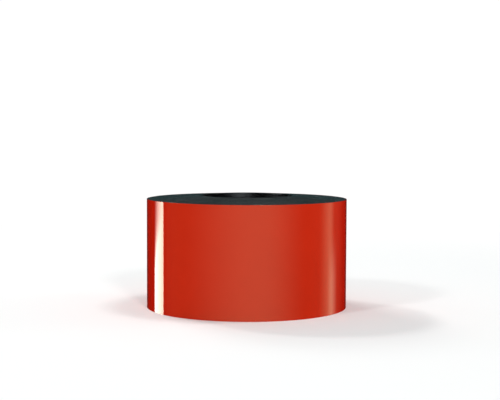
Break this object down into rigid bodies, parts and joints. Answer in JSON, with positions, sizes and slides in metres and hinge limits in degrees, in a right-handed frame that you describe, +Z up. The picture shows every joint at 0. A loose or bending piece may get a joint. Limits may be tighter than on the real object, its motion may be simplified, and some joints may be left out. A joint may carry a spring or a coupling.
{
  "type": "magnetic sign vinyl roll",
  "caption": "Red faced magnetic sign vinyl strip wound on a plastic core tube, stored on its end, with a free tail closed by a tape tab.",
  "frame": {"origin": "on the core's axis, on the surface that the roll's outer turns stand on", "axes": "+Z up along the roll's axis, -Y towards the plain side of the roll, the tail's loose end and its tape tab behind"},
  "size_m": [0.1845, 0.1849, 0.1031],
  "materials": {
    "core_plastic": "satin",
    "magnet_sheet": "matte",
    "vinyl_film": "gloss",
    "tape": "satin"
  },
  "bodies": {
    "roll": {"core_tube": "core_plastic", "core_start_tape": "tape", "winding_turns_01_12": "magnet_sheet", "winding_turns_13_24": "magnet_sheet", "winding_turns_25_36": "magnet_sheet", "winding_turns_37_48": "magnet_sheet", "winding_turns_49_60": "magnet_sheet", "winding_turns_61_70": "magnet_sheet", "outer_turn_magnet": "magnet_sheet", "outer_turn_film": "vinyl_film"},
    "tail_1": {"tail_magnet_1": "magnet_sheet", "tail_film_1": "vinyl_film"},
    "tail_2": {"tail_magnet_2": "magnet_sheet", "tail_film_2": "vinyl_film"},
    "tail_3": {"tail_magnet_3": "magnet_sheet", "tail_film_3": "vinyl_film"},
    "tail_4": {"tail_magnet_4": "magnet_sheet", "tail_film_4": "vinyl_film"},
    "tail_5": {"tail_magnet_5": "magnet_sheet", "tail_film_5": "vinyl_film"},
    "tail_6": {"tail_magnet_6": "magnet_sheet", "tail_film_6": "vinyl_film"},
    "tail_7": {"tail_magnet_7": "magnet_sheet", "tail_film_7": "vinyl_film"},
    "tail_8": {"tail_magnet_8": "magnet_sheet", "tail_film_8": "vinyl_film"},
    "tail_9": {"tail_magnet_9": "magnet_sheet", "tail_film_9": "vinyl_film", "closure_tab_anchor": "tape"},
    "closure_tab": {"closure_tab_flap": "tape"}
  },
  "joints": [
    {"name": "tail_unroll", "type": "hinge", "parent": "roll", "child": "tail_1", "pos_m": [0.08974, 0.02237, 0.05], "axis": [0, 0, -1], "range_deg": [0, 16]},
    {"name": "tail_curl_2", "type": "hinge", "parent": "tail_1", "child": "tail_2", "pos_m": [0.08012, 0.04626, 0.05], "axis": [0, 0, -1], "range_deg": [0, 16]},
    {"name": "tail_curl_3", "type": "hinge", "parent": "tail_2", "child": "tail_3", "pos_m": [0.06429, 0.06657, 0.05], "axis": [0, 0, -1], "range_deg": [0, 16]},
    {"name": "tail_curl_4", "type": "hinge", "parent": "tail_3", "child": "tail_4", "pos_m": [0.04346, 0.08174, 0.05], "axis": [0, 0, -1], "range_deg": [0, 16]},
    {"name": "tail_curl_5", "type": "hinge", "parent": "tail_4", "child": "tail_5", "pos_m": [0.01926, 0.09059, 0.05], "axis": [0, 0, -1], "range_deg": [0, 16]},
    {"name": "tail_curl_6", "type": "hinge", "parent": "tail_5", "child": "tail_6", "pos_m": [-0.00646, 0.09242, 0.05], "axis": [0, 0, -1], "range_deg": [0, 16]},
    {"name": "tail_curl_7", "type": "hinge", "parent": "tail_6", "child": "tail_7", "pos_m": [-0.0317, 0.08709, 0.05], "axis": [0, 0, -1], "range_deg": [0, 16]},
    {"name": "tail_curl_8", "type": "hinge", "parent": "tail_7", "child": "tail_8", "pos_m": [-0.05449, 0.075, 0.05], "axis": [0, 0, -1], "range_deg": [0, 16]},
    {"name": "tail_curl_9", "type": "hinge", "parent": "tail_8", "child": "tail_9", "pos_m": [-0.07308, 0.05709, 0.05], "axis": [0, 0, -1], "range_deg": [0, 16]},
    {"name": "tab_peel", "type": "hinge", "parent": "tail_9", "child": "closure_tab", "pos_m": [-0.08614, 0.0348, 0.05], "axis": [0, 0, -1], "range_deg": [0, 120]}
  ],
  "couplings": [
    {"joint": "tail_curl_2", "follows": "tail_unroll", "ratio": 1},
    {"joint": "tail_curl_3", "follows": "tail_unroll", "ratio": 1},
    {"joint": "tail_curl_4", "follows": "tail_unroll", "ratio": 1},
    {"joint": "tail_curl_5", "follows": "tail_unroll", "ratio": 1},
    {"joint": "tail_curl_6", "follows": "tail_unroll", "ratio": 1},
    {"joint": "tail_curl_7", "follows": "tail_unroll", "ratio": 1},
    {"joint": "tail_curl_8", "follows": "tail_unroll", "ratio": 1},
    {"joint": "tail_curl_9", "follows": "tail_unroll", "ratio": 1}
  ]
}
